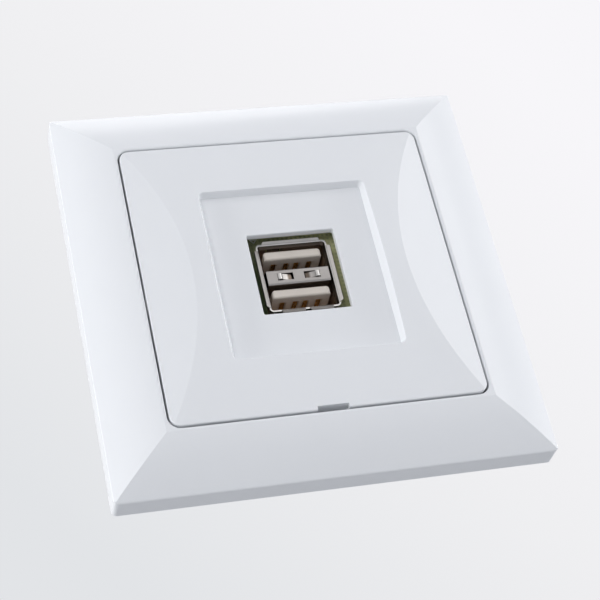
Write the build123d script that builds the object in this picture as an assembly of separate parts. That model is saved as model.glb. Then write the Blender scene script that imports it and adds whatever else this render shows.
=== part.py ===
from build123d import *
from math import atan, cos, degrees, radians, tan
import os

# USB wall socket. X runs to the right, Y into the wall and Z up. The wall's surface is y = 0,
# so everything in front of it has a negative y. The origin is the centre of the wall box's screws.

# Cover frame
frame_side = 82.0
frame_edge_height = 4.8
frame_corner_radius = 0.9
frame_wall = 2.0
bevel_inner_height = 9.0
bevel_crown = 0.42
bevel_start = 0.6
frame_rim_radius = 0.45
frame_ledge_height = 3.2
frame_ledge_width = 2.35
frame_collar_wall = 1.6
frame_rib_width = 1.2
frame_rib_pitch = 18.0
frame_rib_gap = 0.4

# Centre plate
plate_side = 59.0
plate_corner_radius = 2.0
plate_inner_radius = 1.0
plate_gap = 0.35
plate_wall = 1.8
plate_face_rise = 1.6
plate_arch_edge = 0.08
facet_angle = 10.0
plate_edge_radius = 0.25
notch_width = 5.9
notch_height = 0.75
notch_depth = 3.2

# Sunken field of the centre plate
field_width = 31.4
field_height = 35.2
field_draft = 0.75
field_floor_height = 8.46
field_floor = 1.3
field_wall = 1.8
field_corner_radius = 0.5
field_rim_radius = 0.2
field_back_radius = 1.5

# Snap hooks behind the centre plate
hook_x = 19.5
hook_inset = 4.2
hook_width = 4.6
hook_thickness = 1.4
hook_root = 0.6
hook_barb = 1.0
hook_reach = 1.9
hook_clearance = 0.25

# Mounting ring
ring_side = 70.6
ring_thickness = 1.2
ring_corner_radius = 9.0
ring_clearance = 0.3
screw_spacing = 60.0
screw_slot_length = 5.2
screw_slot_radius = 1.9
screw_head_room = 10.0
screw_head_reach = 4.0
screw_head_rise = 3.2

# Housing of the insert
housing_width = 37.0
housing_height = 44.0
housing_radius = 3.5
housing_wall = 1.5
housing_back_depth = 26.4
housing_back_radius = 1.0
lap_length = 1.0
lap_clearance = 0.1
stake_x = 9.0
stake_radius = 1.2
stake_clearance = 0.1
stake_head_radius = 2.0
stake_head_height = 0.9
flange_width = 24.0
flange_reach = 4.2
flange_thickness = 1.4

# Screws and bosses of the housing
boss_inset = 2.65
boss_radius = 2.3
boss_root = 0.5
housing_screw_radius = 1.0
housing_screw_head_radius = 1.9
housing_screw_head_height = 1.3
housing_screw_recess = 0.3
housing_screw_grip = 2.6
housing_screw_slot_depth = 0.7
screw_clearance = 0.15
screw_head_edge_radius = 0.35
screw_point = 0.3
drive_slot_width = 0.7

# Spreading claws
claw_lever = 3.55
claw_screw_radius = 1.75
claw_screw_head_radius = 2.6
claw_screw_head_height = 1.9
claw_screw_slot_depth = 1.1
claw_screw_end = 14.5
claw_screw_running = 0.08
claw_pivot_reach = 2.25
claw_pivot_depth = 8.0
claw_pin_radius = 0.8
claw_running = 0.06
claw_knuckle_radius = 1.6
claw_thickness = 1.5
claw_width = 9.0
claw_tip_depth = 21.0
claw_tooth = 1.7
claw_tooth_count = 3
claw_tooth_gap = 1.8
claw_tooth_start = 0.6
claw_angle_max = 25.0
claw_slot_clearance = 0.35
claw_arm_offset = 0.2
claw_arm_overhang = 2.6
claw_fork_start = 1.2
claw_fork_end = 8.4
lug_gap = 0.35
lug_width = 2.0
lug_radius = 2.3

# Boards
board_thickness = 1.6
board_clearance = 0.2
front_board_margin = 2.0
front_board_radius = 0.8
front_board_recess = 0.7
shelf_width = 1.3
shelf_thickness = 1.5
shelf_radius = 1.0
rear_board_radius = 1.5

# Stacked connector
connector_x = 0.32
connector_z = 0.3
shell_width = 13.1
shell_height = 14.4
shell_sheet = 0.3
shell_radius = 0.8
shell_room_beside = 1.9
shell_room_above = 1.425
shell_board_gap = 0.25
mouth_flare_side = 0.33
mouth_flare_top = 0.45
mouth_flare_depth = 0.6
window_radius = 0.35
window_rim_radius = 0.25
mouth_gap = 1.16
mouth_stand_off = 2.1
port_depth = 12.6
top_lip_length = 0.5
side_lip_length = 0.62
lower_lip_length = 0.8
lip_angle = 55.0
lip_taper = 0.35
lip_inset = 0.9
lower_lip_width = 4.6
lower_lip_places = (-3.0, 2.4)
divider_top = 1.77
divider_bottom = -1.5
divider_gap = 0.2
divider_stand_out = 0.15
divider_bend_radius = 0.4
divider_tang = 1.5
divider_tang_width = 8.0
spring_window_width = 3.1
spring_window_height = 1.5
spring_window_places = (-2.5, 2.7)
spring_tab_clearance = 0.15
spring_tab_short = 0.3
spring_tab_slope = 0.45
spring_tab_sheet = 0.25
spring_tab_crown = 0.32
spring_tab_crown_width = 1.0
shell_spring_x = -3.3
shell_spring_width = 2.4
shell_spring_length = 5.0
shell_spring_gap = 0.35
shell_spring_start = 0.8
side_spring_width = 1.9
side_spring_start = 1.6
side_spring_places = (4.35, -4.25)
insulator_clearance = 0.1
insulator_radius = 0.4
tongue_width = 11.16
tongue_thickness = 1.84
tongue_set_back = 0.6
tongue_corner_radius = 0.7
tongue_tip_radius = 0.4
upper_tongue_top = 6.33
lower_tongue_top = -2.15
contact_offsets = (-3.5, -1.0, 1.0, 3.5)
contact_width = 0.8
contact_sheet = 0.25
contact_set_back = 2.1
contact_channel_lead = 0.3
contact_channel_gap = 0.25
pin_width = 0.6
pin_clearance = 0.12
pin_row_margin = 1.0
pin_stub = 0.7
leg_width = 1.3
leg_z = 5.2
leg_stub = 0.8

# Pins that link the two boards
link_count = 4
link_pitch = 2.0
link_stub = 0.8
link_slot_margin = 1.2
link_spacer_wall = 0.4
link_spacer_margin = 1.4
link_spacer_radius = 0.3

# Terminals
pole_offsets = (-4.2, 4.2)
block_width = 17.2
block_gap = 0.3
block_roof = 2.3
foot_recess = 0.2
foot_clearance = 0.15
foot_lead = 0.4
chamber_width = 6.4
cage_width = 6.0
cage_height = 5.0
cage_lift = 0.7
cage_wall = 0.8
cage_window = 5.2
cage_travel = 1.8
cage_clearance = 0.2
cage_board_gap = 1.3
wire_room = 3.2
bar_thickness = 0.9
bar_width = 3.6
bar_leg_width = 2.0
entry_radius = 1.5
entry_wall = 1.8
terminal_screw_radius = 1.5
terminal_screw_running = 0.06
terminal_screw_room = 0.3
terminal_tip_gap = 0.25
terminal_head_radius = 2.3
terminal_head_height = 1.6
terminal_head_room = 0.2
terminal_head_recess = 0.25
terminal_slot_depth = 0.8
terminal_shoulder = 0.6
driver_hole_radius = 1.9

# Transformer
transformer_x = -9.3
transformer_z = 2.0
core_width = 13.0
core_height = 6.4
core_length = 9.6
core_leg = 2.6
core_middle_radius = 2.4
core_stand = 1.0
winding_height = 11.6
winding_radius = 3.0
winding_gap = 0.1
bobbin_height = 12.6
bobbin_flange = 0.8
bobbin_radius = 1.0

# Capacitors, choke and fuse
can_groove = 0.35
can_groove_start = 1.2
can_groove_width = 0.6
can_edge_radius = 0.4
bulk_radius = 4.0
bulk_length = 11.6
bulk_x = 12.2
bulk_places = (-3.2, 5.6)
output_can_radius = 3.15
output_can_offset = 11.8
output_can_z = 7.0
output_can_front = 1.0
filter_width = 12.0
filter_height = 5.0
filter_length = 9.5
filter_z = 16.6
filter_radius = 0.5
disc_x = 2.6
disc_z = 7.6
disc_radius = 3.2
disc_thickness = 2.6
disc_edge_radius = 0.9
disc_stand = 1.2
disc_stem = (1.2, 1.6)
choke_x = 3.8
choke_z = 0.4
choke_radius = 3.1
choke_waist_radius = 2.6
choke_length = 7.5
choke_flange = 1.2
fuse_x = 12.6
fuse_z = -11.6
fuse_radius = 1.7
fuse_wire_radius = 0.4
fuse_stand = 0.6
fuse_length = 8.0
fuse_edge_radius = 0.5

# Chips: places, body sizes and legs
bridge_x = -13.4
bridge_z = -8.2
bridge_body = (4.0, 4.8, 2.4)
bridge_leg = (1.4, 0.4, 0.8)
bridge_leg_pitch = 2.6
opto_x = -6.6
opto_z = 11.0
opto_body = (6.5, 4.4, 3.3)
opto_leg = (1.0, 1.6, 0.6)
opto_leg_pitch = 2.54
charger_x = -11.0
charger_z = -8.0
charger_body = (3.9, 4.9, 1.5)
charger_leg = (1.2, 0.4, 0.42)
charger_leg_pitch = 1.27
chip_lift = 0.1
chip_radius = 0.2

# Gap between solids that touch, reach of a cut that runs right through, and overshoot of a cut
part_gap = 0.05
through = 40.0
over = 1.0
tiny = 0.01

# The connector stands behind the field's floor, and the front board close behind its mouth.
window_width = shell_width + 2 * shell_room_beside
window_height = shell_height + 2 * shell_room_above
shell_mouth = -field_floor_height + field_floor + mouth_gap
front_board_front = shell_mouth + mouth_stand_off
front_board_back = front_board_front + board_thickness
front_board_side = housing_width - 2 * front_board_margin
housing_front_depth = front_board_front - front_board_recess
insulator_front = shell_mouth + port_depth
tongue_tip = shell_mouth + tongue_set_back
contact_front = tongue_tip + contact_set_back

# The rear board's depth follows from the terminals, stacked forwards from the housing's floor.
inner_width = housing_width - 2 * housing_wall
inner_height = housing_height - 2 * housing_wall
inner_radius = housing_radius - housing_wall
housing_floor = housing_back_depth - housing_wall
block_back = housing_floor - block_gap
terminal_seat = block_back - terminal_head_recess - terminal_head_height
chamber_back = terminal_seat - part_gap - terminal_shoulder
cage_back = chamber_back - cage_clearance - cage_travel
cage_front = cage_back - 2 * cage_wall - cage_window
bar_front = cage_front + cage_wall + wire_room
entry_depth = cage_front + cage_wall + wire_room / 2
rear_board_back = cage_front - cage_board_gap
rear_board_front = rear_board_back - board_thickness
housing_split = rear_board_front + board_thickness / 2
screw_seat = housing_back_depth - housing_screw_head_height - housing_screw_recess

# Heights of the terminals, and of the link pins between them and the connector
block_bottom = -inner_height / 2 + block_gap
chamber_bottom = block_bottom + entry_wall
foot_bottom = -housing_height / 2 + foot_recess
foot_front = housing_split + over + foot_lead
cage_z = chamber_bottom + cage_lift + cage_height / 2
chamber_top = cage_z + cage_height / 2 + cage_clearance
block_top = chamber_top + block_roof
bar_leg_z = (chamber_top + block_top) / 2
link_z = (block_top + connector_z - shell_height / 2) / 2
link_row = (link_count - 1) * link_pitch

# Places of the hooks, bosses, claws and the connector's side walls
hook_z = plate_side / 2 - hook_inset
boss_x = inner_width / 2 - boss_inset
boss_z = inner_height / 2 - boss_inset
claw_pivot_x = housing_width / 2 + claw_pivot_reach
claw_screw_x = claw_pivot_x + claw_lever
shell_wall_x = (shell_width - shell_sheet) / 2


def front_plane(depth):
    """Sketch plane seen from the front, x to the right and y up, at a depth."""
    return Plane((0, depth, 0), x_dir=(1, 0, 0), z_dir=(0, -1, 0))


def prism(outline, front, back):
    """An outline drawn as seen from the front, filled between two depths."""
    return extrude(front_plane(back) * outline, back - front)


def block(x, y, z):
    """A block between two limits along each axis."""
    size = Box(x[1] - x[0], y[1] - y[0], z[1] - z[0])
    return Pos((x[0] + x[1]) / 2, (y[0] + y[1]) / 2, (z[0] + z[1]) / 2) * size


def about(middle, width):
    """The two limits of a width about its middle."""
    return (middle - width / 2, middle + width / 2)


def rod(x, z, radius, front, back):
    """A round rod along Y."""
    return prism(Pos(x, z) * Circle(radius), front, back)


def upright(x, y, radius, low, high):
    """A round rod along Z."""
    return Pos(x, y, (low + high) / 2) * Cylinder(radius, high - low)


def rounded(width, height, radius, front, back, x=0.0, z=0.0):
    """A rounded rectangle seen from the front, filled between two depths."""
    return prism(Pos(x, z) * RectangleRounded(width, height, radius), front, back)


def edges_at_depth(body, depth):
    """The edges whose middles lie at a depth."""
    return body.edges().filter_by_position(Axis.Y, depth - tiny, depth + tiny)


def both_sides(shape):
    """A shape and its mirror image on the left."""
    return shape + mirror(shape, about=Plane.YZ)


def top_and_bottom(shape):
    """A shape and its mirror image below."""
    return shape + mirror(shape, about=Plane.XY)


def four_corners(shape):
    """A shape and its mirror images about the two middle planes."""
    return top_and_bottom(both_sides(shape))


def ridge(outline, length):
    """A closed outline of x and y, filled along Z about the middle."""
    return extrude(Plane.XY * outline, length / 2, both=True)


def frame_form(inset):
    """The frame's outer form, moved inwards by an inset: two crossed bevelled ridges."""
    half = frame_side / 2 - inset
    edge = -(frame_edge_height - inset)
    inner_half = plate_side / 2 + plate_gap + bevel_start
    inner = -(bevel_inner_height - inset)
    middle = ((half + inner_half) / 2 + bevel_crown / 2, (edge + inner) / 2 - bevel_crown)
    half_line = Polyline((0, inner), (inner_half, inner)) + ThreePointArc(
        (inner_half, inner), middle, (half, edge)
    )
    half_line += Polyline((half, edge), (half, 0), (0, 0))
    outline = make_face(half_line + mirror(half_line, about=Plane.YZ))
    across = ridge(outline, 2 * half)
    return across & Rot(0, 90, 0) * across


def outer_frame():
    """Bevelled cover frame with mitred corners, hollow behind, with a ledge for the plate."""
    opening = plate_side + 2 * plate_gap
    opening_radius = plate_corner_radius + plate_gap
    collar_side = opening + 2 * frame_collar_wall
    ledge_opening = opening - 2 * frame_ledge_width
    body = frame_form(0.0)
    rim = edges_at_depth(body, -frame_edge_height).filter_by(GeomType.LINE)
    body = fillet(rim, frame_rim_radius)
    body &= rounded(frame_side, frame_side, frame_corner_radius, -through, 0)
    hollow = frame_form(frame_wall)
    hollow -= rounded(collar_side, collar_side, opening_radius + frame_collar_wall, -through, over)
    for step in (-1, 0, 1):
        rib = block(
            about(step * frame_rib_pitch, frame_rib_width),
            (-bevel_inner_height, -ring_thickness - frame_rib_gap),
            (-frame_side, frame_side),
        )
        hollow -= rib
        hollow -= Rot(0, 90, 0) * rib
    body -= hollow
    body -= rounded(opening, opening, opening_radius, -through, -frame_ledge_height)
    body -= rounded(ledge_opening, ledge_opening, plate_corner_radius, -through, over)
    ring_room = ring_side + 2 * ring_clearance
    body -= rounded(ring_room, ring_room, ring_corner_radius, -ring_thickness, over)
    head_room = block(
        about(0, screw_head_room),
        (-ring_thickness - screw_head_rise, 0),
        about(0, screw_spacing + 2 * screw_head_reach),
    )
    body -= head_room
    body -= Rot(0, 90, 0) * head_room
    mouth = edges_at_depth(body, -bevel_inner_height)
    inner_mouth = [e for e in mouth if max(abs(e.center().X), abs(e.center().Z)) < opening / 2 + tiny]
    return fillet(inner_mouth, plate_gap)


def plate_forms(drop):
    """The plate's two crossed forms, lowered by a drop: its two sloping facets and its arch."""
    half = plate_side / 2
    reach = half + over
    slope = tan(radians(facet_angle))
    top = bevel_inner_height + plate_face_rise - drop
    facet_edge = bevel_inner_height - drop
    facet_top = facet_edge + plate_face_rise + over / 2
    facet_run = (plate_face_rise + over / 2) / slope
    sagitta = plate_face_rise - plate_arch_edge
    arch_radius = (half**2 + sagitta**2) / (2 * sagitta)
    arch_end = top - arch_radius + (arch_radius**2 - reach**2) ** 0.5
    base = frame_ledge_height
    arch = Polyline((reach, -arch_end), (reach, -base), (-reach, -base), (-reach, -arch_end))
    arch += ThreePointArc((-reach, -arch_end), (0, -top), (reach, -arch_end))
    facets = Polyline(
        (-reach, -base),
        (-reach, -facet_edge + slope * over),
        (-half + facet_run, -facet_top),
        (half - facet_run, -facet_top),
        (reach, -facet_edge + slope * over),
        (reach, -base),
        close=True,
    )
    across = ridge(make_face(facets), 2 * reach)
    along = Rot(0, 90, 0) * ridge(make_face(arch), 2 * reach)
    return across, along


def plate_edged(form):
    """One of the plate's forms, cut to the plate's outline, with the edge round its face rounded."""
    body = form & rounded(plate_side, plate_side, plate_corner_radius, -through, 0)
    face_edges = body.edges().filter_by_position(Axis.Y, -through, -bevel_inner_height + part_gap)
    rim = plate_side / 2 - plate_corner_radius
    outer = [e for e in face_edges if max(abs(e.center().X), abs(e.center().Z)) > rim]
    return fillet(outer, plate_edge_radius)


def snap_hook():
    """Hook that passes through a slot of the mounting ring, barb outwards."""
    low, high = about(hook_z, hook_thickness)
    root = -bevel_inner_height + plate_wall - hook_root
    outline = Polyline(
        (root, low),
        (hook_reach, low),
        (hook_reach, high),
        (part_gap, high + hook_barb),
        (part_gap, high),
        (root, high),
        close=True,
    )
    side = extrude(Plane.YZ * make_face(outline), hook_width / 2, both=True)
    return Pos(hook_x, 0, 0) * side


def centre_plate():
    """Arched plate with two facets, the sunken field, its window, a notch and four hooks."""
    facets, arch = plate_forms(0.0)
    body = plate_edged(facets) & plate_edged(arch)
    inner_side = plate_side - 2 * plate_wall
    facets, arch = plate_forms(plate_wall)
    hollow = facets & arch & rounded(inner_side, inner_side, plate_inner_radius, -through, 0)
    hollow += rounded(
        inner_side, inner_side, plate_inner_radius, -frame_ledge_height - over, 0
    )
    hollow -= rounded(
        field_width + 2 * field_wall,
        field_height + 2 * field_wall,
        field_back_radius,
        -through,
        -field_floor_height + field_floor,
    )
    body -= hollow
    draft_depth = bevel_inner_height + plate_face_rise - field_floor_height
    draft_angle = degrees(atan(field_draft / draft_depth))
    floor_outline = front_plane(-field_floor_height) * RectangleRounded(
        field_width, field_height, field_corner_radius
    )
    field = extrude(floor_outline, draft_depth + over, taper=-draft_angle)
    body -= field
    field_reach = field_width / 2 + 2 * field_draft
    on_face = body.edges().filter_by_position(Axis.Y, -through, -bevel_inner_height - over)
    field_rim = [e for e in on_face if abs(e.center().X) < field_reach]
    body = fillet(field_rim, field_rim_radius)
    body -= rounded(window_width, window_height, window_radius, -through, 0)
    window_rim = [
        e
        for e in edges_at_depth(body, -field_floor_height)
        if abs(e.center().X) < window_width / 2 + tiny and abs(e.center().Z) < window_height / 2 + tiny
    ]
    body = fillet(window_rim, window_rim_radius)
    body -= block(
        about(0, notch_width),
        (-through, -bevel_inner_height + notch_depth),
        (-plate_side / 2 - over, -plate_side / 2 + notch_height),
    )
    return body + four_corners(snap_hook())


def mounting_ring():
    """Sheet ring with slots for the wall box's screws, the hooks, the stakes and the claw screws."""
    outline = RectangleRounded(ring_side, ring_side, ring_corner_radius)
    outline -= RectangleRounded(
        housing_width + 2 * ring_clearance, housing_height + 2 * ring_clearance, housing_radius
    )
    slot = SlotOverall(screw_slot_length, 2 * screw_slot_radius)
    hook_hole = Rectangle(hook_width + 2 * hook_clearance, hook_thickness + 2 * hook_clearance)
    for side in (-1, 1):
        outline -= Pos(side * screw_spacing / 2, 0) * slot
        outline -= Pos(0, side * screw_spacing / 2) * Rot(0, 0, 90) * slot
        outline -= Pos(side * claw_screw_x, 0) * Circle(claw_screw_radius + claw_screw_running)
        for height in (-1, 1):
            place = Pos(side * stake_x, height * (housing_height / 2 + flange_reach / 2))
            outline -= place * Circle(stake_radius + stake_clearance)
            outline -= Pos(side * hook_x, height * hook_z) * hook_hole
    return prism(outline, -ring_thickness, 0)


def housing_lugs():
    """Two lugs on the right side that hold the claw's hinge pin."""
    inner = claw_width / 2 + lug_gap
    outer = inner + lug_width
    lug = upright(claw_pivot_x, claw_pivot_depth, lug_radius, inner, outer)
    lug += block(
        (housing_width / 2 - housing_wall / 2, claw_pivot_x),
        about(claw_pivot_depth, 2 * lug_radius),
        (inner, outer),
    )
    lug -= upright(claw_pivot_x, claw_pivot_depth, claw_pin_radius, inner - over, outer + over)
    return top_and_bottom(lug)


def housing_flange():
    """Flange above the front shell, with two stakes headed over in front of the ring."""
    middle_z = housing_height / 2 + flange_reach / 2
    flange = block(
        about(0, flange_width),
        (0, flange_thickness),
        (housing_height / 2 - housing_wall / 2, housing_height / 2 + flange_reach),
    )
    head = Sphere(stake_head_radius)
    head &= block(
        about(0, 2 * stake_head_radius),
        (-stake_head_radius, -stake_head_radius + stake_head_height),
        about(0, 2 * stake_head_radius),
    )
    head_depth = -ring_thickness + stake_head_radius - stake_head_height
    for side in (-1, 1):
        flange += rod(side * stake_x, middle_z, stake_radius, -ring_thickness, stake_clearance)
        flange += Pos(side * stake_x, head_depth, middle_z) * head
    return flange


def housing_front():
    """Front shell: seats the front board, carries the claws and is staked to the ring."""
    pocket = front_board_side + 2 * board_clearance
    opening = pocket - 2 * shelf_width
    shelf_back = front_board_back + shelf_thickness
    body = rounded(housing_width, housing_height, housing_radius, housing_front_depth, housing_split)
    body -= rounded(pocket, pocket, shelf_radius, -through, front_board_back)
    body -= rounded(opening, opening, shelf_radius, -through, shelf_back)
    body -= rounded(inner_width, inner_height, inner_radius, shelf_back, housing_split + over)
    body -= rounded(
        inner_width + housing_wall + lap_clearance,
        inner_height + housing_wall + lap_clearance,
        inner_radius + housing_wall / 2,
        housing_split - lap_length - lap_clearance,
        housing_split + over,
    )
    boss = rod(boss_x, boss_z, boss_radius, shelf_back - boss_root, rear_board_front)
    boss -= rod(boss_x, boss_z, housing_screw_radius, shelf_back, rear_board_front)
    body += four_corners(boss)
    body += top_and_bottom(housing_flange())
    return body + both_sides(housing_lugs())


def housing_back():
    """Rear shell, open below at the terminals, with screwdriver holes behind."""
    body = rounded(housing_width, housing_height, housing_radius, housing_split, housing_back_depth)
    body = fillet(body.faces().sort_by(Axis.Y)[-1].edges(), housing_back_radius)
    body += rounded(
        inner_width + housing_wall - lap_clearance,
        inner_height + housing_wall - lap_clearance,
        inner_radius + housing_wall / 2,
        housing_split - lap_length,
        housing_split + over,
    )
    body -= rounded(inner_width, inner_height, inner_radius, -through, housing_floor)
    body += four_corners(rod(boss_x, boss_z, boss_radius, rear_board_back, housing_floor + part_gap))
    clearance_hole = housing_screw_radius + screw_clearance
    head_hole = housing_screw_head_radius + screw_clearance
    body -= four_corners(rod(boss_x, boss_z, clearance_hole, 0, through))
    body -= four_corners(rod(boss_x, boss_z, head_hole, screw_seat, through))
    body -= block(
        about(0, block_width + 2 * foot_clearance),
        (foot_front - foot_clearance, block_back + foot_clearance),
        (-housing_height / 2 - over, -inner_height / 2 + over),
    )
    for x in pole_offsets:
        body -= rod(x, cage_z, driver_hole_radius, housing_floor - over, through)
    return body


def slotted_screw(head_radius, head_height, shank_radius, shank_length, slot_depth):
    """Cross-slotted screw along Y with its head's underside at y = 0, the shank towards +y."""
    head = rod(0, 0, head_radius, -head_height, 0)
    head = fillet(head.faces().sort_by(Axis.Y)[0].edges(), min(screw_head_edge_radius, head_height / 3))
    shank = rod(0, 0, shank_radius, 0, shank_length)
    shank = chamfer(shank.faces().sort_by(Axis.Y)[-1].edges(), shank_radius * screw_point)
    slot = block(
        about(0, 2 * head_radius),
        (-head_height - over, -head_height + slot_depth),
        about(0, drive_slot_width),
    )
    return head + shank - slot - Rot(0, 90, 0) * slot


def housing_screws():
    """Four screws from behind, through the rear board's corners."""
    screw = slotted_screw(
        housing_screw_head_radius,
        housing_screw_head_height,
        housing_screw_radius,
        screw_seat - rear_board_front + housing_screw_grip,
        housing_screw_slot_depth,
    )
    return four_corners(Pos(boss_x, screw_seat, boss_z) * Rot(0, 0, 180) * screw)


def claw_outline():
    """Side of the right-hand claw: knuckle, arm across the screw and toothed arm backwards."""
    outer_reach = claw_screw_x + claw_screw_radius + claw_arm_overhang
    half = claw_thickness / 2
    inside = claw_pivot_x - claw_arm_offset
    outside = inside + claw_thickness
    tooth = outside + claw_tooth
    outline = Pos(claw_pivot_x, claw_pivot_depth) * Circle(claw_knuckle_radius)
    outline += make_face(
        Polyline(
            (claw_pivot_x, claw_pivot_depth - half),
            (outer_reach, claw_pivot_depth - half),
            (outer_reach, claw_pivot_depth + half),
            (claw_pivot_x, claw_pivot_depth + half),
            close=True,
        )
    )
    outline += make_face(
        Polyline(
            (inside, claw_pivot_depth),
            (outside, claw_pivot_depth),
            (outside, claw_tip_depth - 2 * claw_thickness),
            (tooth, claw_tip_depth - claw_thickness),
            (tooth, claw_tip_depth),
            (inside, claw_tip_depth - claw_thickness),
            close=True,
        )
    )
    return outline - Pos(claw_pivot_x, claw_pivot_depth) * Circle(claw_pin_radius + claw_running)


def claw():
    """Right-hand claw, with an oblong hole round its screw, a forked arm and teeth."""
    body = ridge(claw_outline(), claw_width)
    tilt = radians(claw_angle_max)
    inside = claw_pivot_x - claw_arm_offset
    near = claw_screw_x - claw_screw_radius - claw_slot_clearance
    far = claw_pivot_x + (claw_lever + claw_screw_radius) / cos(tilt)
    far += claw_thickness / 2 * tan(tilt) + claw_slot_clearance
    slot_width = 2 * (claw_screw_radius + claw_slot_clearance)
    body -= block((near, far), about(claw_pivot_depth, 2 * claw_thickness), about(0, slot_width))
    body -= block(
        (inside - over, near + claw_thickness),
        (claw_pivot_depth + claw_fork_start, claw_pivot_depth + claw_fork_end),
        about(0, slot_width),
    )
    half_gap = claw_tooth_gap / 2
    wedge = Polyline((over / 2, -half_gap), (over / 2, half_gap), (-claw_tooth, 0), close=True)
    cut = extrude(Plane.XZ * make_face(wedge), -claw_tip_depth)
    teeth_front = claw_tip_depth - claw_thickness - claw_tooth_start
    for step in range(claw_tooth_count):
        z = (step - (claw_tooth_count - 1) / 2) * claw_width / claw_tooth_count
        body -= Pos(inside + claw_thickness + claw_tooth, teeth_front, z) * cut
    return body


def claw_pin():
    """Hinge pin of the right-hand claw, pressed into the housing's lugs."""
    half = claw_width / 2 + lug_gap + lug_width
    return upright(claw_pivot_x, claw_pivot_depth, claw_pin_radius, -half, half)


def claw_screw():
    """Right-hand claw screw, its head in front of the mounting ring."""
    screw = slotted_screw(
        claw_screw_head_radius,
        claw_screw_head_height,
        claw_screw_radius,
        claw_screw_end + ring_thickness + part_gap,
        claw_screw_slot_depth,
    )
    return Pos(claw_screw_x, -ring_thickness - part_gap, 0) * screw


def link_slot():
    """Outline of the slot that the link pins pass through."""
    return Pos(connector_x, link_z) * Rectangle(
        link_row + pin_width + 2 * link_slot_margin, pin_width + 2 * pin_clearance
    )


def front_board():
    """Board around the connector."""
    outline = RectangleRounded(front_board_side, front_board_side, front_board_radius)
    outline -= Pos(connector_x, connector_z) * Rectangle(
        shell_width + 2 * shell_board_gap, shell_height + 2 * shell_board_gap
    )
    return prism(outline - link_slot(), front_board_front, front_board_back)


def rear_board():
    """Rear board that carries the power supply and the connector's pins."""
    outline = RectangleRounded(
        inner_width - 2 * board_clearance, inner_height - 2 * board_clearance, rear_board_radius
    )
    screw_hole = Circle(housing_screw_radius + screw_clearance)
    leg_hole = Rectangle(shell_sheet + 2 * pin_clearance, leg_width + 2 * pin_clearance)
    for side in (-1, 1):
        for height in (-1, 1):
            outline -= Pos(side * boss_x, height * boss_z) * screw_hole
            outline -= Pos(connector_x + side * shell_wall_x, connector_z + height * leg_z) * leg_hole
    row_width = contact_offsets[-1] - contact_offsets[0] + 2 * pin_row_margin
    row = Rectangle(row_width, contact_sheet + 2 * pin_clearance)
    for top in (upper_tongue_top, lower_tongue_top):
        outline -= Pos(connector_x, connector_z + contact_line(top)) * row
    return prism(outline - link_slot(), rear_board_front, rear_board_back)


def contact_line(tongue_top):
    """Height of the middle of a contact's sheet, on the underside of a tongue."""
    return tongue_top - tongue_thickness + contact_sheet / 2


def shell_form(inset):
    """The shell's form, moved inwards by an inset, opening out at the sides and top of its mouth."""
    width = shell_width - 2 * inset
    height = shell_height - 2 * inset
    radius = shell_radius - inset
    behind = shell_mouth + mouth_flare_depth
    outline = RectangleRounded(width, height, radius)
    mouth = Pos(0, mouth_flare_top / 2) * RectangleRounded(
        width + 2 * mouth_flare_side, height + mouth_flare_top, radius
    )
    opened = loft([front_plane(behind) * outline, front_plane(shell_mouth) * mouth])
    return opened + prism(outline, behind, rear_board_front)


def lip(width, reach, lip_length, shift=0.0):
    """Flared lip above a shell wall, bent out from the shell's mouth, narrower at its tip."""
    forwards = lip_length / tan(radians(lip_angle))
    side = Polyline(
        (shell_mouth, reach - shell_sheet),
        (shell_mouth + shell_sheet, reach - shell_sheet),
        (shell_mouth + shell_sheet, reach),
        (shell_mouth - forwards + shell_sheet, reach + lip_length),
        (shell_mouth - forwards, reach + lip_length - shell_sheet / 2),
        close=True,
    )
    body = extrude(Plane.YZ * make_face(side), width / 2, both=True)
    face = Polyline(
        (-width / 2, reach - shell_sheet),
        (-width / 2, reach),
        (-width / 2 + lip_taper, reach + lip_length),
        (width / 2 - lip_taper, reach + lip_length),
        (width / 2, reach),
        (width / 2, reach - shell_sheet),
        close=True,
    )
    body &= prism(make_face(face), -through, through)
    return Pos(shift, 0, 0) * body


def shell_spring(width, start):
    """A spring tab and the slot round three of its sides, in a wall at z = 0."""
    front = shell_mouth + start
    slot = block(
        about(0, width + 2 * shell_spring_gap), (front, front + shell_spring_length), about(0, over)
    )
    tab = block(
        about(0, width),
        (front + shell_spring_gap, front + shell_spring_gap + shell_spring_length),
        about(0, shell_sheet),
    )
    return slot, tab


def connector_shell():
    """Folded steel shell of the stacked ports, with flared lips, spring tabs and solder legs."""
    body = shell_form(0.0) - shell_form(shell_sheet)
    side_reach = shell_width / 2 + mouth_flare_side
    side_lip = lip(shell_height - 2 * lip_inset, side_reach, side_lip_length)
    top_reach = shell_height / 2 + mouth_flare_top
    body += lip(shell_width - 2 * lip_inset, top_reach, top_lip_length)
    body += Rot(0, 90, 0) * side_lip + Rot(0, -90, 0) * side_lip
    for place in lower_lip_places:
        body += Rot(0, 180, 0) * lip(lower_lip_width, shell_height / 2, lower_lip_length, place)
    top_spring = shell_spring(shell_spring_width, shell_spring_start)
    side_spring = shell_spring(side_spring_width, side_spring_start)
    springs = [(Pos(shell_spring_x, 0, (shell_height - shell_sheet) / 2), top_spring)]
    for z in side_spring_places:
        for side in (-1, 1):
            springs.append((Pos(side * shell_wall_x, 0, z) * Rot(0, 90, 0), side_spring))
    for place, (slot, tab) in springs:
        body = body - place * slot + place * tab
    leg = block(
        about(shell_wall_x, shell_sheet),
        (rear_board_front - part_gap, rear_board_back + leg_stub),
        about(leg_z, leg_width),
    )
    return Pos(connector_x, 0, connector_z) * (body + four_corners(leg))


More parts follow.
